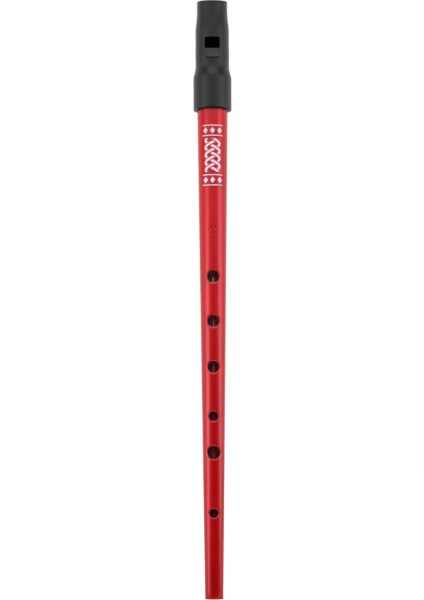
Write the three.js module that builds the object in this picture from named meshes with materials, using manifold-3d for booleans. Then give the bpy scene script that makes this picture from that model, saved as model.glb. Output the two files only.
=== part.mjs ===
// Tin whistle in the key of D: a tinplate tube, a moulded head that slides on it, and the block that
// lies in the head's beak and makes the floor of the windway.
//
// Millimetres. The whistle stands on its foot, with the bore along +Z and the origin on the axis at
// the foot. The window and the six finger holes face -Y. A depth is a distance from the axis
// towards -Y, and a "behind" is a distance from the axis towards +Y.

import * as THREE from 'three';
import { mergeVertices } from 'three/addons/utils/BufferGeometryUtils.js';
import Module from 'manifold-3d';

const wasm = await Module();
wasm.setup();

// Driving dimensions: the whole whistle
const wholeLength = 292;
const headLength = 55;
const cutOverrun = 1;

// Tube: a sheet of tinplate rolled into a cone, with a parallel end on which the head slides
const sheet = 0.3;
const footRadius = 4.38;
const slideRadius = 7.47;
const slideLength = 18;
const seatGap = 0.3;
const lapWidth = 2.6;
const lapShort = 1.2;

// Finger holes from the head down: the centre's height as a share of the length that sounds, from the
// foot to the window, and the diameter as a share of the largest hole's
const largestHole = 6.45;
const fingerHoles = [
  { heightShare: 0.578, diameterShare: 0.95 },
  { heightShare: 0.497, diameterShare: 0.935 },
  { heightShare: 0.414, diameterShare: 0.9 },
  { heightShare: 0.325, diameterShare: 0.73 },
  { heightShare: 0.26, diameterShare: 1 },
  { heightShare: 0.152, diameterShare: 0.68 },
];

// Head, outside: the shoulder is measured up from the rim
const socketRadius = 9.4;
const rimFillet = 0.5;
const shoulderStart = 15.6;
const shoulderLength = 4.8;
const bodyRadius = 8.23;

// Beak, measured down from the tip: its straight part, the blend into the body, the hollow cut behind
// it, which thins the tip for the lips, and the rake of the tip
const beakLength = 19.5;
const beakRadius = 7.48;
const beakStraight = 7;
const beakBlend = 8.2;
const cutLength = 18;
const cutBend = 12;
const cutBendBehind = 1.9;
const tipBehind = 0.8;
const tipRake = 1.3;

// Head, inside
const slideClearance = 0.05;
const mouthChamfer = 0.4;
const socketDepth = 16.8;
const chamberRadius = 6.45;

// Window, whose top edge is where the beak ends, and the ramp below it that ends in the blade
const windowHeight = 6;
const windowWidth = 7.3;
const bladeThickness = 0.15;
const rampLength = 4.7;
const rampWidth = 6.3;
const rampStep = 0.35;

// Windway, the channel that it shares with the block, and the block
const windwayCornerWall = 0.42;
const windwayExitHeight = 0.9;
const windwayTipHeight = 1.3;
const channelTipWall = 1.6;
const channelExitLedge = 2.7;
const blockGap = 0.05;
const blockInset = 0.2;
const blockChamfer = 0.4;

// Facets of the round forms
const roundFacets = 64;
const holeFacets = 32;
const filletFacets = 4;
const blendFacets = 8;
const cutFacets = 12;

// Heights above the foot that follow from the driving dimensions
const rimHeight = wholeLength - headLength;
const seatHeight = rimHeight + socketDepth;
const tubeLength = seatHeight - seatGap;
const slideStart = tubeLength - slideLength;
const shoulderBottom = rimHeight + shoulderStart;
const shoulderTop = shoulderBottom + shoulderLength;
const windowTop = wholeLength - beakLength;
const windowBottom = windowTop - windowHeight;
const beakTop = wholeLength - beakStraight;
const beakBottom = beakTop - beakBlend;

// Solid from a closed geometry, without the flat triangles that a turned form has on its axis
function solid(geometry) {
  const bare = geometry.clone();
  bare.deleteAttribute('normal');
  bare.deleteAttribute('uv');
  const merged = mergeVertices(bare);
  const corners = merged.index.array;
  const kept = [];
  for (let first = 0; first < corners.length; first += 3) {
    const [a, b, c] = corners.slice(first, first + 3);
    if (a !== b && b !== c && c !== a) {
      kept.push(a, b, c);
    }
  }
  return new wasm.Manifold(new wasm.Mesh({
    numProp: 3,
    vertProperties: new Float32Array(merged.attributes.position.array),
    triVerts: new Uint32Array(kept),
  }));
}

// Geometry from a solid
function geometryOf(body) {
  const { vertProperties, triVerts } = body.getMesh();
  const geometry = new THREE.BufferGeometry();
  geometry.setAttribute('position', new THREE.BufferAttribute(vertProperties, 3));
  geometry.setIndex(new THREE.BufferAttribute(triVerts, 1));
  geometry.computeVertexNormals();
  return geometry;
}

function vectors(pairs) {
  return pairs.map(([first, second]) => new THREE.Vector2(first, second));
}

// Solid turned about the bore, from [radius, height] pairs that run up its outside
function turned(pairs) {
  const geometry = new THREE.LatheGeometry(vectors(pairs), roundFacets);
  geometry.rotateX(Math.PI / 2);
  return solid(geometry);
}

// Bar that lies across the bore, of a shape drawn with +Y to the right and +Z up
function crossBar(shape, width) {
  const settings = { depth: width, bevelEnabled: false, curveSegments: cutFacets };
  const geometry = new THREE.ExtrudeGeometry(shape, settings);
  geometry.translate(0, 0, -width / 2);
  const xAxis = new THREE.Vector3(1, 0, 0);
  const yAxis = new THREE.Vector3(0, 1, 0);
  const zAxis = new THREE.Vector3(0, 0, 1);
  geometry.applyMatrix4(new THREE.Matrix4().makeBasis(yAxis, zAxis, xAxis));
  return solid(geometry);
}

// Box between its low and high corners
function boxBetween(low, high) {
  const size = high.clone().sub(low);
  const middle = low.clone().add(high).divideScalar(2);
  const geometry = new THREE.BoxGeometry(size.x, size.y, size.z);
  geometry.translate(middle.x, middle.y, middle.z);
  return solid(geometry);
}

// Tube: the cone's outside, grown outwards, or inwards by a negative growth
function coneCore(growth, pastEnds) {
  const foot = footRadius + growth;
  const slide = slideRadius + growth;
  return turned([
    [0, -pastEnds],
    [foot, -pastEnds],
    [foot, 0],
    [slide, slideStart],
    [slide, tubeLength + pastEnds],
    [0, tubeLength + pastEnds],
  ]);
}

// The sheet's outer edge laps over its inner one down the back, and stops short of the head's rim
function lapSeam() {
  const low = new THREE.Vector3(-lapWidth / 2, 0, 0);
  const high = new THREE.Vector3(lapWidth / 2, slideRadius + cutOverrun, rimHeight - lapShort);
  return coneCore(sheet, 0).intersect(boxBetween(low, high));
}

function fingerHole({ heightShare, diameterShare }) {
  const reach = slideRadius + cutOverrun;
  const radius = (largestHole * diameterShare) / 2;
  const drill = new THREE.CylinderGeometry(radius, radius, reach, holeFacets);
  drill.translate(0, -reach / 2, windowBottom * heightShare);
  return solid(drill);
}

function makeTube() {
  let body = coneCore(0, 0).add(lapSeam()).subtract(coneCore(-sheet, cutOverrun));
  for (const hole of fingerHoles) {
    body = body.subtract(fingerHole(hole));
  }
  return body;
}

// Head: the outside as it is turned, before the beak is cut
function headCore() {
  const pairs = [[0, rimHeight]];
  for (let step = 0; step <= filletFacets; step += 1) {
    const turn = (step / filletFacets) * (Math.PI / 2);
    pairs.push([
      socketRadius - rimFillet * (1 - Math.sin(turn)),
      rimHeight + rimFillet * (1 - Math.cos(turn)),
    ]);
  }
  pairs.push([socketRadius, shoulderBottom], [bodyRadius, shoulderTop]);
  for (let step = 0; step <= blendFacets; step += 1) {
    const along = step / blendFacets;
    pairs.push([
      THREE.MathUtils.lerp(bodyRadius, beakRadius, THREE.MathUtils.smoothstep(along, 0, 1)),
      THREE.MathUtils.lerp(beakBottom, beakTop, along),
    ]);
  }
  pairs.push([beakRadius, wholeLength], [0, wholeLength]);
  return turned(pairs);
}

// The tip is raked: it is highest behind, and falls towards the front
function tipHeight(behind) {
  return wholeLength - (tipRake * (tipBehind - behind)) / (tipBehind + beakRadius);
}

// Cut away behind the beak and off its tip
function beakCut() {
  const outside = socketRadius + cutOverrun;
  const start = wholeLength - cutLength;
  const above = wholeLength + cutOverrun;
  const shape = new THREE.Shape();
  shape.moveTo(outside, start);
  shape.lineTo(bodyRadius, start);
  shape.quadraticCurveTo(cutBendBehind, wholeLength - cutBend, tipBehind, wholeLength);
  shape.lineTo(-outside, tipHeight(-outside));
  shape.lineTo(-outside, above);
  shape.lineTo(outside, above);
  shape.closePath();
  return crossBar(shape, 2 * outside);
}

// Socket with its chamfered mouth, the seat above it, and the sound chamber
function boreCore() {
  const socket = slideRadius + slideClearance;
  return turned([
    [0, rimHeight - cutOverrun],
    [socket + mouthChamfer, rimHeight - cutOverrun],
    [socket + mouthChamfer, rimHeight],
    [socket, rimHeight + mouthChamfer],
    [socket, seatHeight],
    [chamberRadius, seatHeight],
    [chamberRadius, windowTop],
    [0, windowTop],
  ]);
}

// Window through the front wall
function windowCut() {
  const low = new THREE.Vector3(-windowWidth / 2, -bodyRadius - cutOverrun, windowBottom);
  const high = new THREE.Vector3(windowWidth / 2, 0, windowTop);
  return boxBetween(low, high);
}

// Ramp that falls from the front wall to the blade, with a small step where it starts
function rampCut() {
  const outside = bodyRadius + cutOverrun;
  const bladeDepth = chamberRadius + bladeThickness;
  const rampBottom = windowBottom - rampLength;
  const shape = new THREE.Shape(vectors([
    [-bladeDepth, windowBottom],
    [-bladeDepth, windowBottom + cutOverrun],
    [-outside, windowBottom + cutOverrun],
    [-outside, rampBottom],
    [rampStep - bodyRadius, rampBottom],
  ]));
  return crossBar(shape, rampWidth);
}

// Depth of a flat as wide as the window, whose edges leave a wall inside a round outside
function flatDepth(outsideRadius) {
  return Math.sqrt((outsideRadius - windwayCornerWall) ** 2 - (windowWidth / 2) ** 2);
}

const windwayRoofExit = flatDepth(bodyRadius);
const windwayRoofTip = flatDepth(beakRadius);
const channelExitBehind = chamberRadius - channelExitLedge;
const channelTipBehind = tipBehind - channelTipWall;

// Channel through the beak: the block fills it up to the floor of the windway
function channelCut() {
  const above = wholeLength + cutOverrun;
  const shape = new THREE.Shape(vectors([
    [channelExitBehind, windowTop - cutOverrun],
    [channelExitBehind, windowTop],
    [channelTipBehind, wholeLength],
    [channelTipBehind, above],
    [-windwayRoofTip, above],
    [-windwayRoofTip, beakTop],
    [-windwayRoofExit, windowTop],
    [-windwayRoofExit, windowTop - cutOverrun],
  ]));
  return crossBar(shape, windowWidth);
}

function makeHeadShell() {
  return [beakCut(), boreCore(), windowCut(), rampCut(), channelCut()].reduce(
    (body, cut) => body.subtract(cut),
    headCore(),
  );
}

// Place on a straight line through the beak, from the window's top edge to the tip
function alongBeak(exit, tip, height) {
  return THREE.MathUtils.mapLinear(height, windowTop, wholeLength, exit, tip);
}

function makeBlock() {
  const floorExit = windwayRoofExit - windwayExitHeight;
  const floorTip = windwayRoofTip - windwayTipHeight;
  const backExit = channelExitBehind - blockGap;
  const backTip = channelTipBehind - blockGap;
  const chamferTop = windowTop + blockChamfer;
  const frontTop = tipHeight(-floorTip) - blockInset;
  const backTop = tipHeight(backTip) - blockInset;
  const shape = new THREE.Shape(vectors([
    [backExit, windowTop],
    [alongBeak(backExit, backTip, backTop), backTop],
    [-alongBeak(floorExit, floorTip, frontTop), frontTop],
    [-alongBeak(floorExit, floorTip, chamferTop), chamferTop],
    [blockChamfer - floorExit, windowTop],
  ]));
  return crossBar(shape, windowWidth - 2 * blockGap);
}

// Whistle
const lacqueredTin = new THREE.MeshStandardMaterial({ color: 0xb4141c, roughness: 0.3, metalness: 0.5 });
const blackPlastic = new THREE.MeshStandardMaterial({ color: 0x2b2b2a, roughness: 0.45, metalness: 0 });

function piece(name, body, material) {
  const mesh = new THREE.Mesh(geometryOf(body), material.clone());
  mesh.name = name;
  return mesh;
}

const head = new THREE.Group();
head.add(
  piece('head_shell', makeHeadShell(), blackPlastic),
  piece('fipple_block', makeBlock(), blackPlastic),
);

const whistle = new THREE.Group();
whistle.add(piece('tube', makeTube(), lacqueredTin), head);

export default whistle;
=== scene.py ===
# %% [markdown]
# A tin whistle has three pieces: a tube rolled from tinplate and lacquered red, a black plastic head
# that slides on it, and the block in the head's beak that makes the floor of the windway.
# The CAD model holds their sizes, their places and the slide between the head and the tube.
# It is loaded first, as a frame that stays as it is. Everything made below sits in that frame.

import math

import bmesh
import bpy
from mathutils import Matrix, Vector


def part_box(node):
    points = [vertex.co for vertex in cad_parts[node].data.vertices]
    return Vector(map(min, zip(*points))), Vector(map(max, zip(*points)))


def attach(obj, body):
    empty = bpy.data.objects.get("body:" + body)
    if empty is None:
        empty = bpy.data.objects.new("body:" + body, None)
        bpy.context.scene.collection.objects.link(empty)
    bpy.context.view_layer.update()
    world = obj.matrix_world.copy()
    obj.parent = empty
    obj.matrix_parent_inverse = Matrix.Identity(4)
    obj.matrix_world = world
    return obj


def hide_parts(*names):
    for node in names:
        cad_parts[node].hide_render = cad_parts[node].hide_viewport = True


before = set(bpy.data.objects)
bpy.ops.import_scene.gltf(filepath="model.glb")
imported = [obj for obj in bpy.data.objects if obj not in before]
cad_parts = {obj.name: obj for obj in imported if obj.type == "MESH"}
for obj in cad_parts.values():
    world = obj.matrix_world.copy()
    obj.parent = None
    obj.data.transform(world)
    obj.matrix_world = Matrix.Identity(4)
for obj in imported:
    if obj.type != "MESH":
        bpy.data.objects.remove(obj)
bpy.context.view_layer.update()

# %% [markdown]
# The whistle stands on its foot, with its bore along +Z and its window and finger holes towards -Y.
# A whistle maker thinks in millimetres, so the pieces are modelled in millimetres and made a
# thousand times smaller when they are finished, because the frame is in metres.
# The sizes that two pieces share are read from the CAD boxes, so the pieces can't drift apart.

# %% Sizes that come from the CAD model
MM = 0.001


def box_in_mm(cad_node):
    low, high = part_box(cad_node)
    return low / MM, high / MM


_, tube_high = box_in_mm("tube")
head_low, head_high = box_in_mm("head_shell")
slide_radius = tube_high.x
tube_length = tube_high.z
rim_height = head_low.z
whole_length = head_high.z
socket_radius = head_high.x
print(f"whole {whole_length:.1f}, tube {tube_length:.1f}, rim at {rim_height:.1f} mm")

# %% [markdown]
# The photograph looks at the front of the whistle from a little above its foot and a little upwards,
# so the head is seen from below and the foot from above. The picture is 424 by 600, and its long
# side sets the lens. The whistle leans by a fifth of a degree in it, which is the camera's roll.

# %% Camera
camera_distance = 740
camera_height = 65
camera_left = 0.571
camera_pitch = math.radians(6.03)
camera_roll = math.radians(0.206)
focal_length_in_pixels = 1530.3
picture_height = 600

camera_data = bpy.data.cameras.new("studio_camera")
camera_data.sensor_width = 36
camera_data.lens = focal_length_in_pixels * camera_data.sensor_width / picture_height
camera_data.clip_start = 10 * MM
camera_data.clip_end = 20
camera = bpy.data.objects.new("studio_camera", camera_data)
bpy.context.scene.collection.objects.link(camera)
camera.location = Vector((-camera_left, -camera_distance, camera_height)) * MM
look_up = Matrix.Rotation(math.pi / 2 + camera_pitch, 3, "X")
turn_clockwise = Matrix.Rotation(-camera_roll, 3, "Z")
camera.rotation_euler = (look_up @ turn_clockwise).to_euler()
bpy.context.scene.camera = camera
print(f"lens {camera_data.lens:.1f} mm")

# %% [markdown]
# A finish is a network of nodes. Making one by hand takes three lines a node, so a few short helpers
# make a node, set its inputs and link what comes from other nodes.
# Patterns are placed in millimetres on the object itself, so they stay on it when the head slides.

# %% Helpers for finishes


def node(tree, kind, inputs=None, **settings):
    made = tree.nodes.new(kind)
    for name, value in settings.items():
        setattr(made, name, value)
    for key, value in (inputs or {}).items():
        if isinstance(value, bpy.types.NodeSocket):
            tree.links.new(value, made.inputs[key])
        else:
            made.inputs[key].default_value = value
    return made


def new_finish(name, **fixed):
    finish = bpy.data.materials.new(name)
    finish.use_nodes = True
    tree = finish.node_tree
    shader = tree.nodes["Principled BSDF"]
    for socket, value in fixed.items():
        shader.inputs[socket.replace("_", " ")].default_value = value
    return finish, tree, shader


def place_in_mm(tree, stretch=(1, 1, 1)):
    where = node(tree, "ShaderNodeTexCoord")
    scale = [factor / MM for factor in stretch]
    return node(tree, "ShaderNodeMapping", {"Vector": where.outputs["Object"], "Scale": scale}).outputs[0]


def noise(tree, place, size, detail=2.0, roughness=0.5):
    settings = {"Vector": place, "Scale": 1 / size, "Detail": detail, "Roughness": roughness}
    return node(tree, "ShaderNodeTexNoise", settings).outputs["Fac"]


def calculate(tree, operation, first, second=0.0, third=0.0):
    return node(tree, "ShaderNodeMath", {0: first, 1: second, 2: third}, operation=operation).outputs[0]


def spread(tree, value, old_low, old_high, new_low, new_high):
    before = {"From Min": old_low, "From Max": old_high}
    after = {"To Min": new_low, "To Max": new_high}
    return node(tree, "ShaderNodeMapRange", {"Value": value, **before, **after}).outputs[0]


def blend_colours(tree, share, first, second, way="MIX"):
    made = node(tree, "ShaderNodeMix", data_type="RGBA", blend_type=way)
    for socket, value in ((made.inputs[0], share), (made.inputs[6], first), (made.inputs[7], second)):
        if isinstance(value, bpy.types.NodeSocket):
            tree.links.new(value, socket)
        else:
            socket.default_value = value
    return made.outputs[2]


def bump(tree, height, depth, under=None):
    inputs = {"Height": height, "Distance": depth * MM, "Strength": 1.0}
    if under is not None:
        inputs["Normal"] = under
    return node(tree, "ShaderNodeBump", inputs).outputs[0]


print("helpers for finishes are ready")

# %% [markdown]
# The tube's outside is a translucent red lacquer over bright tinplate. Light goes through the colour,
# comes back from the metal, and also shines off the clear top. So the finish is partly metallic, with
# a clear coat over it. The colour is a little deeper towards the foot, and it is rubbed pale on the
# edges of the holes. A painted shadow darkens a line under the head's rim, and the foot's edge is
# made darker.

# %% Red lacquer
lacquer_at_foot = (0.515, 0.0042, 0.0044, 1)
lacquer_at_head = (0.630, 0.0085, 0.0090, 1)
rubbed_lacquer = (0.72, 0.22, 0.20, 1)
# Painted shadow: a dark line painted on the lacquer just under where the head's rim rests.
painted_shadow_low = rim_height - 0.7
painted_shadow_high = rim_height + 0.3
painted_shadow_fade = 0.5
darker_at_foot = (0.3, 1.2, 0.5, 0)
shadow_and_foot_darkness = 0.85
lacquered_height = 253

red_lacquer, tree, shader = new_finish(
    "red_lacquer", Metallic=0.23, Specular_IOR_Level=0.0, Coat_Weight=0.75, Coat_Roughness=0.07, Coat_IOR=1.45
)
place = place_in_mm(tree)
height_on_tube = node(tree, "ShaderNodeSeparateXYZ", {0: place}).outputs["Z"]
up_the_tube = spread(tree, height_on_tube, 0, lacquered_height, 0, 1)
lacquer = blend_colours(tree, up_the_tube, lacquer_at_foot, lacquer_at_head)
cloud = spread(tree, noise(tree, place, 9, detail=3), 0.3, 0.7, 0.90, 1.08)
grain = spread(tree, noise(tree, place, 0.25, detail=2), 0.3, 0.7, 0.95, 1.05)
shade = calculate(tree, "MULTIPLY", cloud, grain)
# Painted shadow under the rim: this band multiplies the lacquer's colour down.
above_line = spread(tree, height_on_tube, painted_shadow_low - painted_shadow_fade, painted_shadow_low, 0, 1)
below_line = spread(tree, height_on_tube, painted_shadow_high, painted_shadow_high + painted_shadow_fade, 1, 0)
painted_shadow_and_dark_foot = calculate(tree, "MULTIPLY", above_line, below_line)
# The foot's last millimetre is darkened as well, by the same amount.
painted_shadow_and_dark_foot = calculate(tree, "MAXIMUM", painted_shadow_and_dark_foot, spread(tree, height_on_tube, *darker_at_foot))
shade = calculate(tree, "MULTIPLY", shade, calculate(tree, "MULTIPLY_ADD", painted_shadow_and_dark_foot, -shadow_and_foot_darkness, 1.0))
grey = node(tree, "ShaderNodeCombineXYZ", {0: shade, 1: shade, 2: shade}).outputs[0]
lacquer = blend_colours(tree, 1.0, lacquer, grey, "MULTIPLY")
rubbed = node(tree, "ShaderNodeAttribute", attribute_name="rubbed").outputs["Fac"]
patchy = spread(tree, noise(tree, place, 0.7, detail=3), 0.35, 0.6, 0.35, 1.0)
rubbed = calculate(tree, "MULTIPLY", rubbed, patchy)
lacquer = blend_colours(tree, rubbed, lacquer, rubbed_lacquer)
tree.links.new(lacquer, shader.inputs["Base Color"])
scratches = noise(tree, place_in_mm(tree, (1.0, 1.0, 0.06)), 0.4, detail=4, roughness=0.7)
tree.links.new(spread(tree, scratches, 0.3, 0.7, 0.24, 0.33), shader.inputs["Roughness"])
waves = bump(tree, noise(tree, place, 16, detail=1), 0.05)
orange_peel = bump(tree, noise(tree, place, 0.8, detail=2), 0.0022, waves)
tree.links.new(orange_peel, shader.inputs["Normal"])
tree.links.new(orange_peel, shader.inputs["Coat Normal"])
print("finish:", red_lacquer.name)

# %% [markdown]
# Inside, only a wash of the lacquer has dried on the tinplate. It is dull, with fine lines along the tube
# from the rollers, and breath has left darker spots on it. The joint at the back is sealed with solder,
# which is smoother than the tin, so a pale line shows through the holes. The light that comes through
# the higher holes is painted in: the inside and the solder line are made paler towards the head.

# %% Bare tin
washed_tin = (0.50, 0.085, 0.080, 1)
stained_tin = (0.30, 0.035, 0.030, 1)
painted_light_tin = (0.72, 0.42, 0.38, 1)
solder = (0.86, 0.72, 0.66, 1)
solder_half_width = 0.16
solder_fade = 0.2
solder_wobble = 0.2
solder_smoothness = 0.28
solder_painted_light_upwards = (100, 150, 0.55, 1.0)
painted_light_upwards = (60, 150, 0, 0.5)

bare_tin, tree, shader = new_finish("bare_tin")
place = place_in_mm(tree)
lines = noise(tree, place_in_mm(tree, (1, 1, 0.03)), 0.35, detail=4, roughness=0.6)
spots = spread(tree, noise(tree, place, 2.5, detail=5, roughness=0.65), 0.45, 0.65, 0, 1)
metal = blend_colours(tree, spots, washed_tin, stained_tin)
place_parts = node(tree, "ShaderNodeSeparateXYZ", {0: place})
sideways, behind_bore, height_on_tube = place_parts.outputs
# Painted light: the inside is mixed towards a paler tin higher up the tube.
metal = blend_colours(tree, spread(tree, height_on_tube, *painted_light_upwards), metal, painted_light_tin)
from_joint = calculate(tree, "ABSOLUTE", sideways)
from_joint = calculate(tree, "MULTIPLY_ADD", lines, solder_wobble, from_joint)
on_joint = spread(tree, from_joint, solder_half_width, solder_half_width + solder_fade, 1, 0)
at_the_back = spread(tree, behind_bore, 0, 1, 0, 1)
on_joint = calculate(tree, "MULTIPLY", on_joint, at_the_back)
# Painted light: the solder line is made stronger towards the head.
on_joint = calculate(tree, "MULTIPLY", on_joint, spread(tree, height_on_tube, *solder_painted_light_upwards))
metal = blend_colours(tree, on_joint, metal, solder)
tree.links.new(metal, shader.inputs["Base Color"])
tree.links.new(spread(tree, on_joint, 0, 1, 0.45, 1.0), shader.inputs["Metallic"])
dull = spread(tree, lines, 0.3, 0.7, 0.36, 0.54)
shine = calculate(tree, "MULTIPLY_ADD", on_joint, -solder_smoothness, dull)
tree.links.new(shine, shader.inputs["Roughness"])
tree.links.new(bump(tree, lines, 0.004), shader.inputs["Normal"])
print("finish:", bare_tin.name)

# %% [markdown]
# The head is moulded in black plastic with a satin skin. The mould leaves a fine grain, the colour is a
# warm charcoal rather than a pure black, and handling has polished it in patches.
# A fine line runs up both sides, where the two halves of the mould met.

# %% Black plastic
charcoal = (0.0112, 0.0115, 0.0076, 1)
dusty_charcoal = (0.0200, 0.0196, 0.0160, 1)
mould_line_half_width = 0.05
mould_line_reach = 0.16

black_plastic, tree, shader = new_finish("black_plastic", IOR=1.46, Specular_IOR_Level=0.45)
place = place_in_mm(tree)
flow = noise(tree, place_in_mm(tree, (1, 1, 0.5)), 5, detail=4)
dust = spread(tree, noise(tree, place, 0.5, detail=5, roughness=0.7), 0.52, 0.72, 0, 0.8)
plastic = blend_colours(tree, spread(tree, flow, 0.35, 0.65, 0, 0.5), charcoal, dusty_charcoal)
plastic = blend_colours(tree, dust, plastic, dusty_charcoal)
tree.links.new(plastic, shader.inputs["Base Color"])
tree.links.new(spread(tree, flow, 0.3, 0.7, 0.31, 0.40), shader.inputs["Roughness"])
place_parts = node(tree, "ShaderNodeSeparateXYZ", {0: place})
from_seam = calculate(tree, "ABSOLUTE", place_parts.outputs["Y"])
mould_line = spread(tree, from_seam, mould_line_half_width, mould_line_reach, 1, 0)
skin = bump(tree, noise(tree, place, 0.22, detail=3), 0.006)
tree.links.new(bump(tree, mould_line, 0.03, skin), shader.inputs["Normal"])
print("finish:", black_plastic.name)

# %% [markdown]
# Two more finishes are printed on the lacquer: a white ink, which lets a little red through where it is
# thin, and a dark red ink under it that draws its shadow.

# %% Inks
thick_white, thin_white = (1.00, 0.69, 0.715, 1), (0.97, 0.46, 0.50, 1)
dark_shadow, light_shadow = (0.07, 0.006, 0.008, 1), (0.12, 0.010, 0.012, 1)

white_ink, tree, shader = new_finish("white_ink", Coat_Weight=0.5, Coat_Roughness=0.12)
place = place_in_mm(tree)
thin = spread(tree, noise(tree, place, 0.6, detail=4), 0.45, 0.75, 0, 0.55)
ink = blend_colours(tree, thin, thick_white, thin_white)
tree.links.new(ink, shader.inputs["Base Color"])
tree.links.new(spread(tree, noise(tree, place, 0.3), 0.3, 0.7, 0.30, 0.42), shader.inputs["Roughness"])

shadow_ink, tree, shader = new_finish("shadow_ink", Coat_Weight=0.5, Coat_Roughness=0.12)
place = place_in_mm(tree)
ink = blend_colours(tree, noise(tree, place, 0.8, detail=3), dark_shadow, light_shadow)
tree.links.new(ink, shader.inputs["Base Color"])
tree.links.new(spread(tree, noise(tree, place, 0.3), 0.3, 0.7, 0.32, 0.44), shader.inputs["Roughness"])
print("finishes:", white_ink.name, shadow_ink.name)

# %% [markdown]
# A piece is modelled as a bmesh in millimetres. When it is done it becomes an object at the origin, in
# metres, which rides on a CAD body, takes its finishes and hides the CAD node that it replaces.

# %% Helpers for pieces


def finish_piece(name, bm, body, finishes, replaced=()):
    bmesh.ops.scale(bm, vec=(MM, MM, MM), verts=bm.verts)
    mesh = bpy.data.meshes.new(name)
    bm.to_mesh(mesh)
    bm.free()
    mesh.shade_smooth()
    for finish in finishes:
        mesh.materials.append(finish)
    piece = bpy.data.objects.new(name, mesh)
    bpy.context.scene.collection.objects.link(piece)
    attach(piece, body)
    if replaced:
        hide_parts(*replaced)
    print(f"{name}: {len(mesh.polygons)} faces on body {body}")
    return piece


def add_modifier(piece, kind, **settings):
    modifier = piece.modifiers.new(kind.title(), kind)
    for name, value in settings.items():
        setattr(modifier, name, value)
    return modifier


def smooth_step(low, high, value):
    share = min(max((value - low) / (high - low), 0), 1)
    return share * share * (3 - 2 * share)


print("helpers for pieces are ready")

# %% [markdown]
# The tube is made as the maker makes it. A flat sheet is cut, its holes are punched, and it is rolled
# into a cone whose edges lap at the back. In the flat sheet, one direction is the height on the tube
# and the other is the way round it, at a middle radius. Rolling is one movement of every corner.

# %% The cone that the sheet is rolled to
sheet_thickness = 0.3
foot_radius = 4.38
slide_length = 18
slide_start = tube_length - slide_length
middle_radius = 6


def cone_radius(height):
    share = min(max(height / slide_start, 0), 1)
    return foot_radius + (slide_radius - foot_radius) * share


print(f"cone radius {cone_radius(0):.2f} at the foot, {cone_radius(tube_length):.2f} at the head")

# %% [markdown]
# A grid of squares is the flat sheet. One row of squares is a little under a millimetre high, which is fine
# enough for the holes' rims. The lap is added to both long edges by extruding them outwards, so its
# squares continue those of the sheet.

# %% The flat sheet
lap_width = 2.6
columns = 96
rows = 282
lap_columns = 3

sheet = bmesh.new()
half_round = math.pi * middle_radius
to_sheet = Matrix.Diagonal((half_round, tube_length / 2, 1, 1))
bmesh.ops.create_grid(sheet, x_segments=columns, y_segments=rows, size=1, matrix=to_sheet)
bmesh.ops.translate(sheet, vec=(0, tube_length / 2, 0), verts=sheet.verts)
for side in (-1, 1):
    edge = [e for e in sheet.edges if all(abs(v.co.x - side * half_round) < 1e-3 for v in e.verts)]
    for _ in range(lap_columns):
        grown = bmesh.ops.extrude_edge_only(sheet, edges=edge)["geom"]
        edge = [part for part in grown if isinstance(part, bmesh.types.BMEdge) and part.is_boundary]
        new_corners = {part for part in grown if isinstance(part, bmesh.types.BMVert)}
        outer = {v for e in edge for v in e.verts if v in new_corners}
        edge = [e for e in edge if all(v in outer for v in e.verts)]
        bmesh.ops.translate(sheet, vec=(side * lap_width / 2 / lap_columns, 0, 0), verts=list(outer))
print("flat sheet:", len(sheet.faces), "faces")

# %% [markdown]
# Each finger hole is a round opening in a square grid. The squares round the hole are taken out, rings
# of corners are laid inside the gap, and a bridge joins the outermost ring to the grid. The rings let
# the rim be pressed in a little, as a punch leaves it. A Boolean would leave long thin faces there.

# %% Helper that lays rings in the sheet
grid_margin = 0.8
bridge_cuts = 2


def lay_rings(bm, height, radii, keep_open):
    """Replaces the squares round a point on the sheet's front by rings of these radii."""
    reach_up = radii[0] + grid_margin
    reach_round = middle_radius * math.asin(radii[0] / cone_radius(height - radii[0])) + grid_margin
    inside = [
        f for f in bm.faces
        if abs(f.calc_center_median().x) < reach_round and abs(f.calc_center_median().y - height) < reach_up
    ]
    gone = set(inside)
    border = [e for f in inside for e in f.edges if any(g not in gone for g in e.link_faces)]
    bmesh.ops.delete(bm, geom=inside, context="FACES_KEEP_BOUNDARY")
    middle = Matrix.Translation((0, height, 0))
    ring = bmesh.ops.create_circle(bm, segments=len(border), radius=radii[0], matrix=middle)["verts"]
    ring_edges = list({e for v in ring for e in v.link_edges})
    outer_edges = ring_edges
    laid = list(ring)
    for before, after in zip(radii, radii[1:]):
        grown = bmesh.ops.extrude_edge_only(bm, edges=ring_edges)["geom"]
        ring = [part for part in grown if isinstance(part, bmesh.types.BMVert)]
        shrink = after / before
        bmesh.ops.scale(bm, vec=(shrink, shrink, 1), space=Matrix.Translation((0, -height, 0)), verts=ring)
        ring_edges = list({e for v in ring for e in v.link_edges if e.is_boundary})
        laid += ring
    if not keep_open:
        bmesh.ops.contextual_create(bm, geom=ring_edges)
    for v in laid:
        v.co.x = middle_radius * math.asin(v.co.x / cone_radius(v.co.y))
    bridge = bmesh.ops.bridge_loops(bm, edges=border + outer_edges)
    across = [e for e in bridge["edges"] if e.is_valid]
    bmesh.ops.subdivide_edges(bm, edges=across, cuts=bridge_cuts, use_grid_fill=False)
    return len(border)


print("helper for rings is ready")

# %% [markdown]
# The heights and widths of the holes are the CAD model's: a share of the sounding length, from the foot to
# the window, and a share of the largest hole. The rings lie close together at the rim, where the metal
# bends most.

# %% Punch the finger holes
window_to_tip = 25.5
window_bottom = whole_length - window_to_tip
largest_hole = 6.45
finger_holes = [
    (0.578, 0.95), (0.497, 0.935), (0.414, 0.90), (0.325, 0.73), (0.26, 1.0), (0.152, 0.68),
]
rim_rings = (0.9, 0.6, 0.38, 0.22, 0.1, 0)

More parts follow.
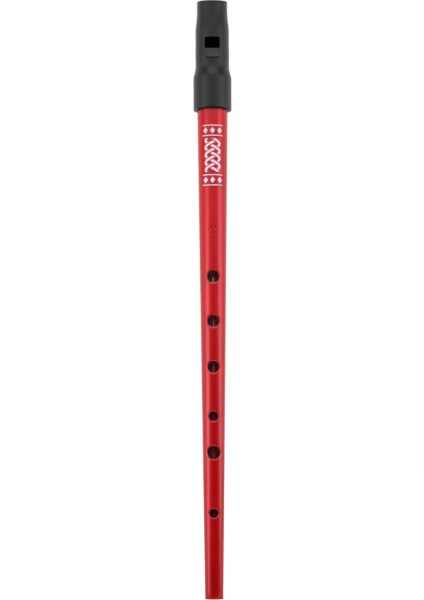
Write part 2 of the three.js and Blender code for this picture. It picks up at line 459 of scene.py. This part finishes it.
for height_share, width_share in finger_holes:
    hole_radius = largest_hole * width_share / 2
    hole_height = window_bottom * height_share
    radii = [hole_radius + more for more in rim_rings]
    corners = lay_rings(sheet, hole_height, radii, keep_open=True)
    print(f"hole {2 * hole_radius:.2f} mm wide at {hole_height:.1f} mm, {corners} corners round")

# %% [markdown]
# A plain ring is stamped into the tube between the ornament and the first hole, less than a tenth of a
# millimetre deep. It could be a bump in the finish, but real corners also catch the light at its edge. So
# rings of corners are laid as for a hole, and the innermost one is closed.

# %% Stamp a plain ring
stamp_height = 176.6
stamp_rings = (2.5, 2.15, 1.95, 1.85, 1.75, 1.65, 1.55, 1.35, 1.0, 0.5)
stamp_groove_radius = 1.75
stamp_groove_width = 0.17
stamp_depth = 0.09
lay_rings(sheet, stamp_height, stamp_rings, keep_open=False)
print("sheet with holes and stamp:", len(sheet.faces), "faces")

# %% [markdown]
# Rolling moves every corner of the sheet to its place on the cone. The last of the sheet climbs over the
# first of it at the back, by its own thickness, and comes down again before the head's socket, where
# the inner layer gives way instead.

# %% Helpers for rolling
solder_gap = 0.02
joggle = 1.4
lap_below_rim = 1.4
lap_end = rim_height - lap_below_rim
lap_fade = 2.5


def layer_shift(angle, height, radius):
    """How far the lapping layer stands out, or the inner layer gives way, at the back."""
    lap_side = math.pi - lap_width / 2 / radius
    climb = smooth_step(lap_side - joggle / radius, lap_side, abs(angle))
    outside_share = 1 - smooth_step(lap_end - lap_fade, lap_end, height)
    if angle > 0:
        return climb * outside_share * (sheet_thickness + solder_gap)
    return -climb * (1 - outside_share) * (sheet_thickness + solder_gap)


def distance_from_rim(across, height):
    """Distance along the surface from the nearest hole's edge."""
    return min(
        abs(math.hypot(across, height - window_bottom * share) - largest_hole * width / 2)
        for share, width in finger_holes
    )


print(f"the outer lap ends {lap_end:.1f} mm up")

# %% [markdown]
# A rim sinks where it was punched, most at its very edge. The same step writes down how rubbed each corner
# is, a little outside the holes' edges, and the lacquer's finish reads that layer by its name.

# %% Roll the sheet into the tube
rim_sink = 0.2
rim_sink_reach = 0.75
rubbed_share = 0.45
rubbed_most = 0.12
rubbed_reach = 0.5

rubbed_layer = sheet.verts.layers.float.new("rubbed")
for v in sheet.verts:
    along, height = v.co.x, v.co.y
    radius = cone_radius(height)
    past_back = max(abs(along) - half_round, 0)
    angle = math.copysign(min(abs(along), half_round) / middle_radius + past_back / radius, along)
    across = radius * math.sin(angle)
    to_rim = to_groove = largest_hole
    if abs(angle) < 1:
        to_rim = distance_from_rim(across, height)
        to_groove = abs(math.hypot(across, height - stamp_height) - stamp_groove_radius)
    sink = rim_sink * (1 - smooth_step(0, rim_sink_reach, to_rim)) ** 2
    groove = stamp_depth * math.exp(-((to_groove / stamp_groove_width) ** 2))
    rubbed_fade = 1 - smooth_step(rubbed_most, rubbed_reach, to_rim)
    v[rubbed_layer] = rubbed_share * smooth_step(0, rubbed_most, to_rim) * rubbed_fade
    place_radius = radius + layer_shift(angle, height, radius) - sink - groove
    v.co = (place_radius * math.sin(angle), -place_radius * math.cos(angle), height)
bmesh.ops.recalc_face_normals(sheet, faces=sheet.faces)
outwards = sum(f.normal.xy.dot(f.calc_center_median().xy) for f in sheet.faces)
if outwards < 0:
    bmesh.ops.reverse_faces(sheet, faces=sheet.faces)
print("rolled tube:", len(sheet.faces), "faces")

# %% [markdown]
# So far the tube is a skin without a thickness. A Solidify modifier grows it inwards and gives the inside
# and the cut edges the bare tin, and a Bevel modifier rounds the cut edges, which a punch and shears leave
# a little soft. As modifiers they can still be changed, and the skin stays simple.

# %% Give the tube its thickness and round its cut edges
cut_edge_rounding = 0.06

tube = finish_piece("tube_sheet", sheet, "tube", [red_lacquer, bare_tin], ["tube"])
add_modifier(
    tube, "SOLIDIFY", thickness=sheet_thickness * MM, offset=-1, use_even_offset=True, material_offset=1,
    material_offset_rim=1,
)
add_modifier(
    tube, "BEVEL", width=cut_edge_rounding * MM, segments=2, limit_method="ANGLE",
    angle_limit=math.radians(50), use_clamp_overlap=True, harden_normals=True,
)

# %% [markdown]
# The head's outside is turned: a socket with a rounded rim, a shoulder, the body, and the beak. Its side
# is drawn as a few corners, which are rounded, cut into short steps and spun about the bore.
# The sizes follow the photograph's outline, to about a tenth of a millimetre of the CAD model's.

# %% Draw the head's side
collar_step = 0.04
socket_wall_radius = socket_radius - collar_step
head_side = [
    (socket_wall_radius - 1.2, rim_height, 0), (socket_wall_radius, rim_height, 0.35),
    (socket_wall_radius, 248.1, 0.8), (socket_radius, 249.5, 0.8), (socket_radius, 253.1, 0.7),
    (8.28, 257.6, 0.9), (8.27, 260.4, 0.6), (8.27, 261.8, 0), (8.34, 264.6, 0.8), (8.34, 266.5, 0),
    (8.26, 269.4, 0.8), (8.26, 272.5, 0), (8.26, 273.8, 0.6), (8.31, 276.4, 0.8), (8.17, 279.0, 0.9),
    (7.88, 281.2, 0.9), (7.65, 283.3, 0.9), (7.52, 285.8, 0.8), (7.50, 288.0, 0.6), (7.50, whole_length, 0),
]
row_length = 0.8

side = bmesh.new()
corners = [side.verts.new((radius, 0, height)) for radius, height, _ in head_side]
for lower, upper in zip(corners, corners[1:]):
    side.edges.new((lower, upper))
for corner, (_, _, rounding) in zip(corners, head_side):
    if rounding:
        bmesh.ops.bevel(
            side, geom=[corner], offset=rounding, segments=4, profile=0.5, affect="VERTICES", material=-1,
        )
for edge in list(side.edges):
    cuts = int(edge.calc_length() / row_length)
    if cuts:
        bmesh.ops.subdivide_edges(side, edges=[edge], cuts=cuts)
print("head's side:", len(side.edges), "steps")

# %% [markdown]
# The beak isn't round at the back. It is hollowed there so that the lips can close on it, and its tip is
# raked. Both are movements of the spun form: what lies behind the hollow's curve is brought forward to
# it, with a soft corner, and the last of the beak is stretched or shortened to the rake.

# %% Spin the head's side and shape the beak
head_steps = 128
hollow_start = 273.9
hollow_rise = (6, 12)
hollow_depths = (8.4, 1.9, 0.8)
hollow_corner = 1.3
rake_start = 285
tip_rake = 1.3
tip_behind = 0.8
tip_radius = 7.48


def hollow_depth(height):
    """The curve behind the beak: how far behind the axis its surface lies."""
    rise = max(height - hollow_start, 0)
    a, b = hollow_rise
    share = (math.sqrt(b * b + 4 * a * rise) - b) / (2 * a)
    start, bend, end = hollow_depths
    return start * (1 - share) ** 2 + 2 * bend * share * (1 - share) + end * share**2


def tip_height(behind):
    return whole_length - tip_rake * (tip_behind - behind) / (tip_behind + tip_radius)


def soft_minimum(first, second, width):
    share = min(max(0.5 + 0.5 * (second - first) / width, 0), 1)
    return second + (first - second) * share - width * share * (1 - share)


shell = side
bmesh.ops.spin(
    shell, geom=shell.verts[:] + shell.edges[:], cent=(0, 0, 0), axis=(0, 0, 1), angle=2 * math.pi,
    steps=head_steps, use_merge=True,
)
bmesh.ops.remove_doubles(shell, verts=shell.verts, dist=0.002)
for v in shell.verts:
    if v.co.z > hollow_start and v.co.y > 0:
        v.co.y = soft_minimum(v.co.y, hollow_depth(v.co.z), hollow_corner)
    if v.co.z > rake_start:
        share = (v.co.z - rake_start) / (whole_length - rake_start)
        v.co.z = rake_start + share * (tip_height(v.co.y) - rake_start)
ends = bmesh.ops.holes_fill(shell, edges=[e for e in shell.edges if e.is_boundary], sides=0)["faces"]
bmesh.ops.recalc_face_normals(shell, faces=shell.faces)
print("head's outside:", len(shell.faces), "faces,", len(ends), "ends closed")

# %% [markdown]
# The lips close on the tip, so its edge is well rounded. The edge is the border of the flat end that closed
# the spun form, and one bevel with five segments rounds it.

# %% Round the tip's edge
tip_rounding = 0.55
tip_face = max(ends, key=lambda f: f.calc_center_median().z)
bmesh.ops.bevel(
    shell, geom=list(tip_face.edges), offset=tip_rounding, segments=5, profile=0.5, affect="EDGES",
    clamp_overlap=True, material=-1,
)
print("head's outside with a rounded tip:", len(shell.faces), "faces")

# %% [markdown]
# The bore, the window, the ramp and the windway are cut with tools, as on a real one. Each tool is a
# closed form, and a Boolean modifier takes it away from the head. The cut edges are then rounded a
# little, as moulded edges are, so that they catch the light.

# %% Helpers for cutting


def temporary_object(bm):
    mesh = bpy.data.meshes.new("temporary")
    bm.to_mesh(mesh)
    bm.free()
    made = bpy.data.objects.new("temporary", mesh)
    bpy.context.scene.collection.objects.link(made)
    return made


def cut(bm, tools):
    """The form with every tool taken away from it, as a new bmesh."""
    stock = temporary_object(bm)
    cutters = [temporary_object(tool) for tool in tools]
    for cutter in cutters:
        add_modifier(stock, "BOOLEAN", operation="DIFFERENCE", solver="EXACT", object=cutter)
    bpy.context.view_layer.update()
    result = bmesh.new()
    result.from_mesh(stock.evaluated_get(bpy.context.evaluated_depsgraph_get()).to_mesh())
    for done in [stock, *cutters]:
        bpy.data.objects.remove(done)
    return result


print("helpers for cutting are ready")

# %% [markdown]
# Two kinds of tool are enough. A turned tool is a side view spun about the bore, and a bar is a side view
# extruded across it. Both are closed, because a Boolean needs to know what is inside.

# %% Helpers for tools


def spun_tool(pairs, steps):
    """Closed form turned about the bore, from radius and height pairs that start and end on the axis."""
    tool = bmesh.new()
    verts = [tool.verts.new((radius, 0, height)) for radius, height in pairs]
    for lower, upper in zip(verts, verts[1:]):
        tool.edges.new((lower, upper))
    bmesh.ops.spin(
        tool, geom=tool.verts[:] + tool.edges[:], cent=(0, 0, 0), axis=(0, 0, 1), angle=2 * math.pi,
        steps=steps, use_merge=True,
    )
    bmesh.ops.remove_doubles(tool, verts=tool.verts, dist=0.001)
    bmesh.ops.recalc_face_normals(tool, faces=tool.faces)
    return tool


def bar_tool(pairs, width):
    """Bar of that width across the bore, from behind and height pairs."""
    tool = bmesh.new()
    verts = [tool.verts.new((-width / 2, behind, height)) for behind, height in pairs]
    face = tool.faces.new(verts)
    grown = bmesh.ops.extrude_face_region(tool, geom=[face])["geom"]
    moved = [part for part in grown if isinstance(part, bmesh.types.BMVert)]
    bmesh.ops.translate(tool, vec=(width, 0, 0), verts=moved)
    bmesh.ops.recalc_face_normals(tool, faces=tool.faces)
    return tool


print("helpers for tools are ready")

# %% [markdown]
# The bore's tool is turned. From below, it has the socket's mouth, which is a little wider, the socket, the
# seat that stops the tube, and the sound chamber, which ends at the top of the window.

# %% Tool for the bore
slide_clearance = 0.05
socket_bore_radius = slide_radius + slide_clearance
mouth_width = 0.25
mouth_depth = 0.3
socket_depth = 16.8
seat_height = rim_height + socket_depth
chamber_radius = 6.45
beak_length = 19.9
window_top = whole_length - beak_length
beyond = 2

bore = spun_tool([
    (0, rim_height - beyond), (socket_bore_radius + mouth_width, rim_height - beyond),
    (socket_bore_radius + mouth_width, rim_height), (socket_bore_radius, rim_height + mouth_depth),
    (socket_bore_radius, seat_height), (chamber_radius, seat_height), (chamber_radius, window_top),
    (0, window_top),
], head_steps)
print(f"tool for the bore: {len(bore.faces)} faces")

# %% [markdown]
# The player's breath leaves the windway at the top of the window and meets the blade at its bottom. The
# ramp in front of the blade ends in a narrow groove. The window, the ramp and the windway have the same
# section all the way across, so each is cut by a bar.

# %% Tools for the window, the ramp and the windway
window_width = 7.4
blade_depth = 6.6
blade_rise = 0.3
blade_edge = window_bottom + blade_rise
ramp_foot = (-7.84, 262.05)
ramp_groove = [(-6.95, 261.7), (-7.2, 262.45)]
ramp_groove_lip = (-8.3, 261.4)
ramp_width = 6.5
channel_width = 7.3
roof_depths = (6.905, 6.043)
channel_behind = (3.75, -0.8)
overlap = 1
outside = -socket_radius - beyond

window = bar_tool([
    (0, blade_edge), (0, window_top), (outside, window_top), (outside, blade_edge),
], window_width)
ramp = bar_tool([
    (-blade_depth, blade_edge), (-blade_depth, blade_edge + overlap), (outside, blade_edge + overlap),
    (outside, ramp_groove_lip[1]), ramp_groove_lip, *ramp_groove, ramp_foot,
], ramp_width)
channel = bar_tool([
    (channel_behind[0], window_top - overlap), (channel_behind[0], window_top),
    (channel_behind[1], whole_length), (channel_behind[1], whole_length + beyond),
    (-roof_depths[1], whole_length + beyond), (-roof_depths[1], rake_start),
    (-roof_depths[0], window_top), (-roof_depths[0], window_top - overlap),
], channel_width)
print("tools with", [len(tool.faces) for tool in (window, ramp, channel)], "faces")

# %% Cut the head
shell = cut(shell, [bore, window, ramp, channel])
bmesh.ops.remove_doubles(shell, verts=shell.verts, dist=0.01)
print("cut head:", len(shell.faces), "faces,", sum(not e.is_manifold for e in shell.edges), "open edges")

# %% [markdown]
# A mould's edges are never quite sharp. Every edge that turns by more than forty degrees is beveled by less
# than a tenth of a millimetre. A Weighted Normal modifier then keeps the large flat faces, such as the
# ramp, flat in their shading up to those small bevels.

# %% Round the cut edges
edge_rounding = 0.07
sharp_angle = math.radians(40)
shading_angle = math.radians(35)

sharp = [e for e in shell.edges if len(e.link_faces) == 2 and e.calc_face_angle() > sharp_angle]
bmesh.ops.bevel(
    shell, geom=sharp, offset=edge_rounding, segments=2, profile=0.5, affect="EDGES", clamp_overlap=False,
    material=-1,
)
head = finish_piece("head_moulding", shell, "head", [black_plastic], ["head_shell"])
head.data.set_sharp_from_angle(angle=shading_angle)
add_modifier(head, "WEIGHTED_NORMAL", keep_sharp=True)

# %% [markdown]
# The block fills the channel up to the floor of the windway. From outside, only its end at the tip shows,
# and its lower end with a small chamfer through the window. It is a bar with rounded edges.

# %% Block
block_gap = 0.05
block_inset = 0.2
block_chamfer = 0.4
block_rounding = 0.12
windway_heights = (0.9, 1.3)
exit_floor = -roof_depths[0] + windway_heights[0]
tip_floor = -roof_depths[1] + windway_heights[1]


def along_beak(at_exit, at_tip, height):
    return at_exit + (at_tip - at_exit) * (height - window_top) / (whole_length - window_top)


back_exit, back_tip = channel_behind[0] - block_gap, channel_behind[1] - block_gap
front_top = tip_height(tip_floor) - block_inset
back_top = tip_height(back_tip) - block_inset
block = bar_tool([
    (back_exit, window_top), (along_beak(back_exit, back_tip, back_top), back_top),
    (along_beak(exit_floor, tip_floor, front_top), front_top),
    (along_beak(exit_floor, tip_floor, window_top + block_chamfer), window_top + block_chamfer),
    (exit_floor + block_chamfer, window_top),
], channel_width - 2 * block_gap)
bmesh.ops.bevel(
    block, geom=block.edges[:], offset=block_rounding, segments=3, profile=0.5, affect="EDGES",
    clamp_overlap=True, material=-1,
)
block_piece = finish_piece("windway_block", block, "head", [black_plastic], ["fipple_block"])
block_piece.data.set_sharp_from_angle(angle=shading_angle)

# %% [markdown]
# A plain ornament is printed on the front under the head: a plait of three strands between two bands of
# lozenges, in white with a dark shadow. The plait is a very old pattern that belongs to nobody.
# It is drawn flat, in millimetres along and round the tube, and then laid on the cone.
# In a plait each outer strand in turn crosses over the middle one, so at a crossing on the right the
# strand that heads left is on top.

# %% The plait's strands
plait_bottom = 205.05
plait_top = 221.7
plait_reach = 3.5
plait_period = 11.1


def strand_across(strand, height):
    turn = 2 * math.pi * ((height - plait_bottom) / plait_period + strand / 3)
    return plait_reach * math.sin(turn)


def strand_slope(strand, height):
    turn = 2 * math.pi * ((height - plait_bottom) / plait_period + strand / 3)
    return plait_reach * 2 * math.pi / plait_period * math.cos(turn)


def crossings_under(strand):
    """Heights where this strand goes under another one, with that other strand."""
    found = []
    for other in range(3):
        if other == strand:
            continue
        for step in range(-2, 8):
            height = plait_bottom + plait_period * (0.25 + step / 2 - (strand + other) / 6)
            on_right = strand_across(strand, height) > 0
            heads_right = strand_slope(strand, height) > 0
            if on_right == heads_right:
                found.append((height, other))
    return sorted(found)


print("strand 0 goes under at", [round(h, 1) for h, _ in crossings_under(0) if plait_bottom < h < plait_top])

# %% [markdown]
# A ribbon starts as one edge across the strand, which is extruded step by step along it. The strand
# underneath stops short on both sides of a crossing, and its end is cut along the strand on top.

# %% Helper for ribbons
strand_width = 1.25
strand_step = 0.35
strand_cuts = 3


def add_ribbon(bm, strand, low, high, low_cut, high_cut):
    """Ribbon along a strand. A cut is the direction in which that end is cut off."""
    count = max(2, round((high - low) / strand_step))
    edge, rungs = None, []
    for step in range(count + 1):
        height = low + (high - low) * step / count
        along = Vector((strand_slope(strand, height), 1, 0)).normalized()
        cut_along = Vector((-along.y, along.x, 0))
        if step == 0:
            cut_along = low_cut
        if step == count:
            cut_along = high_cut
        if cut_along.x < 0:
            cut_along = -cut_along
        half = cut_along * strand_width / 2 / abs(cut_along.cross(along).z)
        middle = Vector((strand_across(strand, height), height, 0))
        if edge is None:
            edge = bm.edges.new((bm.verts.new(middle - half), bm.verts.new(middle + half)))
            rungs.append(edge)
            continue
        left = edge.verts[0]
        grown = bmesh.ops.extrude_edge_only(bm, edges=[edge])["geom"]
        edge = next(part for part in grown if isinstance(part, bmesh.types.BMEdge))
        new_left, new_right = sorted(edge.verts, key=lambda v: (v.co - left.co).length)
        new_left.co, new_right.co = middle - half, middle + half
        rungs.append(edge)
    bmesh.ops.subdivide_edges(bm, edges=rungs, cuts=strand_cuts, use_grid_fill=False)


print("helper for ribbons is ready")

# %% Draw the plait
strand_gap = 0.36
shortest_ribbon = 1.5


def draw_plait(bm):
    level = Vector((1, 0, 0))
    for strand in range(3):
        start, start_cut = plait_bottom, level
        for height, other in [*crossings_under(strand), (None, None)]:
            if height is None or height > plait_top:
                if plait_top > start + shortest_ribbon:
                    add_ribbon(bm, strand, start, plait_top, start_cut, level)
                break
            slope, other_slope = strand_slope(strand, height), strand_slope(other, height)
            other_along = Vector((other_slope, 1, 0)).normalized()
            parting = abs(slope - other_slope) * other_along.y
            clear = (strand_width / 2 + strand_gap) / parting
            if height - clear > start + shortest_ribbon:
                add_ribbon(bm, strand, start, height - clear, start_cut, other_along)
            if height + clear > start:
                start, start_cut = height + clear, other_along


print(f"plait {plait_top - plait_bottom:.1f} mm high")

# %% [markdown]
# A band is two thin lines with three lozenges between them. A line is a long grid, because the cone bends it,
# and a lozenge is a square grid that is turned onto its corner and then stretched.

# %% Draw the bands of lozenges
band_half_width = 5.2
band_line = 0.55
lozenge_width = 2.5
lozenge_height = 3.3
lozenge_places = (-3.6, 0, 3.6)
band_heights = (201.15, 225.6)
band_half_height = 2.5
onto_its_corner = Matrix.Rotation(math.radians(45), 4, "Z") @ Matrix.Scale(math.sqrt(0.5), 4)


def draw_bar(bm, height):
    shape = Matrix.Translation((0, height, 0)) @ Matrix.Diagonal((band_half_width, band_line / 2, 1, 1))
    bmesh.ops.create_grid(bm, x_segments=24, y_segments=1, size=1, matrix=shape)


def draw_lozenge(bm, across, height):
    stretched = Matrix.Diagonal((lozenge_width / 2, lozenge_height / 2, 1, 1))
    shape = Matrix.Translation((across, height, 0)) @ stretched @ onto_its_corner
    bmesh.ops.create_grid(bm, x_segments=8, y_segments=8, size=1, matrix=shape)


def draw_bands(bm):
    for height in band_heights:
        draw_bar(bm, height - band_half_height)
        draw_bar(bm, height + band_half_height)
        for across in lozenge_places:
            draw_lozenge(bm, across, height)


print("bands at", band_heights)

# %% [markdown]
# The drawing is laid on the cone twice: first the shadow, a little down and to the right in dark red ink,
# and then the white on top of it. A Solidify modifier gives each its few hundredths of a millimetre.

# %% Print the ornament
ink_thickness = 0.03
shadow_shift, shadow_lift = (0.42, -0.38), 0.012
white_shift, white_lift = (0, 0), 0.024


def print_ornament(name, finish, shift, lift):
    bm = bmesh.new()
    draw_plait(bm)
    draw_bands(bm)
    for v in bm.verts:
        across, height = v.co.x + shift[0], v.co.y + shift[1]
        radius = cone_radius(height)
        angle = across / radius
        v.co = ((radius + lift) * math.sin(angle), -(radius + lift) * math.cos(angle), height)
    for f in bm.faces:
        f.normal_update()
        if f.normal.dot(f.calc_center_median()) < 0:
            f.normal_flip()
    piece = finish_piece(name, bm, "tube", [finish])
    add_modifier(piece, "SOLIDIFY", thickness=ink_thickness * MM, offset=-1)
    return piece


print_ornament("ornament_shadow", shadow_ink, shadow_shift, shadow_lift)
print_ornament("ornament_white", white_ink, white_shift, white_lift)

# %% [markdown]
# The studio is plain: a pale floor under the foot, white all round, and a tall soft light on each side of
# the camera. A shiny tube is a mirror that shows its surroundings squeezed into stripes. Its bright
# stripes are the two soft lights, its pale edges are the white behind it, and its dark middle is the
# unlit room behind the camera.
# The floor is white to the camera because its paper glows, not because more light falls on it, and it ends
# just in front of the foot. It is dimmer in mirrors than it looks to the camera, which gives the tube its
# dark outline near the foot.

# %% Floor
floor_reach = 2.5
floor_in_front = 0.012
floor_glow = 0.80
share_in_mirrors = 0.6

floor_bm = bmesh.new()
bmesh.ops.create_grid(floor_bm, x_segments=1, y_segments=1, size=floor_reach)
bmesh.ops.translate(floor_bm, vec=(0, floor_reach - floor_in_front, 0), verts=floor_bm.verts)
floor_mesh = bpy.data.meshes.new("floor")
floor_bm.to_mesh(floor_mesh)
floor_bm.free()
floor = bpy.data.objects.new("floor", floor_mesh)
bpy.context.scene.collection.objects.link(floor)

floor_finish, tree, shader = new_finish("floor_paper", Roughness=0.9)
shader.inputs["Base Color"].default_value = (0.40, 0.40, 0.40, 1)
paths = node(tree, "ShaderNodeLightPath")
mirrored = calculate(tree, "MULTIPLY", paths.outputs["Is Glossy Ray"], share_in_mirrors)
seen = calculate(tree, "MAXIMUM", paths.outputs["Is Camera Ray"], mirrored)
seen = calculate(tree, "MAXIMUM", seen, paths.outputs["Is Transmission Ray"])
shader.inputs["Emission Color"].default_value = (1, 1, 1, 1)
tree.links.new(calculate(tree, "MULTIPLY", seen, floor_glow), shader.inputs["Emission Strength"])
floor_mesh.materials.append(floor_finish)
print("floor is", floor.dimensions.x, "m wide")

# %% [markdown]
# The world lights the whistle evenly from all sides at half strength. Rays from the camera, and rays that
# come off a shiny surface or go through a clear one, find it pure white. So the background is white, and
# the tube's edges are pale.

# %% World
world = bpy.data.worlds.new("white_studio")
bpy.context.scene.world = world
world.use_nodes = True
tree = world.node_tree
paths = node(tree, "ShaderNodeLightPath")
seen = calculate(tree, "MAXIMUM", paths.outputs["Is Camera Ray"], paths.outputs["Is Glossy Ray"])
seen = calculate(tree, "MAXIMUM", seen, paths.outputs["Is Transmission Ray"])
background = tree.nodes["Background"]
background.inputs["Color"].default_value = (1, 1, 1, 1)
world_level = 0.5
tree.links.new(spread(tree, seen, 0, 1, world_level, 1.0), background.inputs["Strength"])
print("world level for soft light:", world_level)

# %% [markdown]
# The two soft lights are tall and curved, with soft edges, because the bright stripes on the tube are soft.
# An area lamp's edge is sharp, so each light is a curved grid instead, and every corner holds how much it
# glows there. The cards can be seen through, and they throw no shadow, so they hide nothing of the room.

# %% Finish of the soft lights
light_colour = (0.93, 0.97, 1.24, 1)

light_finish, tree, shader = new_finish("soft_light")
glow = node(tree, "ShaderNodeAttribute", attribute_name="glow").outputs["Fac"]
glowing = node(tree, "ShaderNodeEmission", {"Color": light_colour, "Strength": glow}).outputs[0]
clear = node(tree, "ShaderNodeBsdfTransparent").outputs[0]
glowing = node(tree, "ShaderNodeAddShader", {0: glowing, 1: clear}).outputs[0]
tree.links.new(glowing, tree.nodes["Material Output"].inputs["Surface"])
tree.nodes.remove(shader)
print("finish:", light_finish.name)

# %% [markdown]
# A card's place is given as a bearing, in degrees round the whistle from the camera, and a height. Its inner
# edge leans outwards towards the foot, where the tube's dark middle is wider.

# %% Soft lights
light_distance = 0.8
light_reach = 102
light_bottom = -0.38
light_middle = 0.14
light_top = 0.55
soft_inside = 34
spill_share, spill_end = 0.1, -16
edge_softness = (-14, 15)
outer_dimming = 0.72
outer_fade = 84


def add_soft_light(name, side, radiance, edge_at_top, lean, straight_above, fade_above, fade_past):
    """Curved card that glows, with soft edges."""
    bm = bmesh.new()
    glow_layer = bm.verts.layers.float.new("glow")
    bmesh.ops.create_grid(bm, x_segments=30, y_segments=40, size=0.5)
    for v in bm.verts:
        height = light_bottom + (light_top - light_bottom) * (v.co.y + 0.5)
        edge = edge_at_top + lean * max(straight_above - height, 0) ** 2
        bearing = edge - soft_inside + (light_reach - edge + soft_inside) * (v.co.x + 0.5)
        past_edge = bearing - edge
        spill = spill_share * smooth_step(-soft_inside, spill_end, past_edge)
        across = spill + (1 - spill_share) * smooth_step(*edge_softness, past_edge)
        across *= 1 - outer_dimming * smooth_step(*fade_past, past_edge)
        across *= 1 - smooth_step(outer_fade, light_reach, bearing)
        upwards = smooth_step(light_bottom, light_middle, height)
        upwards *= 1 - smooth_step(fade_above, light_top, height)
        v[glow_layer] = radiance * across * upwards
        turn = side * math.radians(bearing)
        v.co = (light_distance * math.sin(turn), -light_distance * math.cos(turn), height)
    mesh = bpy.data.meshes.new(name)
    bm.to_mesh(mesh)
    bm.free()
    mesh.materials.append(light_finish)
    card = bpy.data.objects.new(name, mesh)
    bpy.context.scene.collection.objects.link(card)
    card.visible_camera = False
    card.visible_shadow = False
    print(f"{name}: {len(mesh.polygons)} faces")


add_soft_light(
    "light_on_the_left", side=-1, radiance=4.8, edge_at_top=33, lean=97, straight_above=0.45,
    fade_above=0.09, fade_past=(10, 43),
)
add_soft_light(
    "light_on_the_right", side=1, radiance=3.3, edge_at_top=41, lean=153, straight_above=0.40,
    fade_above=0.23, fade_past=(17, 57),
)

# %% [markdown]
# What faces up, such as the ramp under the window and the shoulder, is lit by an area lamp above the camera.
# An area lamp's energy is its radiance times pi times its area.

# %% Light from above
above_size = (1.1, 0.36)
above_radiance = 1.7
above_place = (0, -0.83, 1.12)
above_tilt = math.radians(44)

ceiling = bpy.data.lights.new("light_from_above", "AREA")
ceiling.shape = "RECTANGLE"
ceiling.size, ceiling.size_y = above_size
ceiling.energy = above_radiance * math.pi * ceiling.size * ceiling.size_y
ceiling_lamp = bpy.data.objects.new("light_from_above", ceiling)
bpy.context.scene.collection.objects.link(ceiling_lamp)
ceiling_lamp.location = above_place
ceiling_lamp.rotation_euler = (above_tilt, 0, 0)
print(f"light from above: {ceiling.energy:.1f} W")

# %% [markdown]
# The dark middle of the tube is the room behind the camera. It is one curved card that only mirrors show, so
# it takes no light away. It starts as one upright edge, which is spun half a turn round the whistle.

# %% The unlit room behind the camera
room_distance = 1.5
room_reach = math.radians(92)
room_bottom = -1.2
room_top = 2.6

room_bm = bmesh.new()
foot_corner = room_bm.verts.new((0, -room_distance, room_bottom))
top_corner = room_bm.verts.new((0, -room_distance, room_top))
room_edge = room_bm.edges.new((foot_corner, top_corner))
to_left_end = Matrix.Rotation(-room_reach, 3, "Z")
bmesh.ops.rotate(room_bm, matrix=to_left_end, verts=room_bm.verts)
bmesh.ops.spin(
    room_bm, geom=[foot_corner, top_corner, room_edge], cent=(0, 0, 0), axis=(0, 0, 1), angle=2 * room_reach,
    steps=44, use_merge=False,
)
room_mesh = bpy.data.meshes.new("unlit_room")
room_bm.to_mesh(room_mesh)
room_bm.free()
room = bpy.data.objects.new("unlit_room", room_mesh)
bpy.context.scene.collection.objects.link(room)
room.visible_camera = False
room.visible_diffuse = False
room.visible_transmission = False
room.visible_shadow = False
print("unlit room:", len(room_mesh.polygons), "faces")

# %% [markdown]
# The room is black near the floor and paler above, where a real room has its ceiling, and the black
# plastic of the head mirrors that paler part. Four numbers say between which two places, in metres, the
# glow goes from one share to another.

# %% Finish of the unlit room
glow_upwards, glow_power = (-0.05, 0.62, 0.0, 1.0), 2.4
glow_near_top = (0.57, 0.75, 1.2, 0.7)
side_glows_upwards = ((0.52, 0.61, 0.35, 0.95), (0.60, 0.67, 1.0, 1.8), (0.90, 1.25, 1.0, 0.15))
middle_reach, sides_start = 0.45, 0.90
glow_at_far_sides = (1.36, 1.48, 1.0, 0.3)

room_finish, tree, shader = new_finish("unlit_room", Roughness=1.0)
shader.inputs["Base Color"].default_value = (0, 0, 0, 1)
shader.inputs["Specular IOR Level"].default_value = 0
shader.inputs["Emission Color"].default_value = (1, 1, 1, 1)
room_place = node(tree, "ShaderNodeSeparateXYZ", {0: node(tree, "ShaderNodeTexCoord").outputs["Object"]})
sideways = calculate(tree, "ABSOLUTE", room_place.outputs["X"])
up_the_room = room_place.outputs["Z"]
paler_above = calculate(tree, "POWER", spread(tree, up_the_room, *glow_upwards), glow_power)
paler_above = calculate(tree, "MULTIPLY", paler_above, spread(tree, up_the_room, *glow_near_top))
at_the_sides = 1.0
for side_glow in side_glows_upwards:
    at_the_sides = calculate(tree, "MULTIPLY", at_the_sides, spread(tree, up_the_room, *side_glow))
sides = spread(tree, sideways, middle_reach, sides_start, 1.0, at_the_sides)
sides = calculate(tree, "MULTIPLY", sides, spread(tree, sideways, *glow_at_far_sides))
tree.links.new(calculate(tree, "MULTIPLY", paler_above, sides), shader.inputs["Emission Strength"])
room_mesh.materials.append(room_finish)
print("finish:", room_finish.name)

# %% Finish
bpy.context.scene.view_settings.view_transform = "Standard"
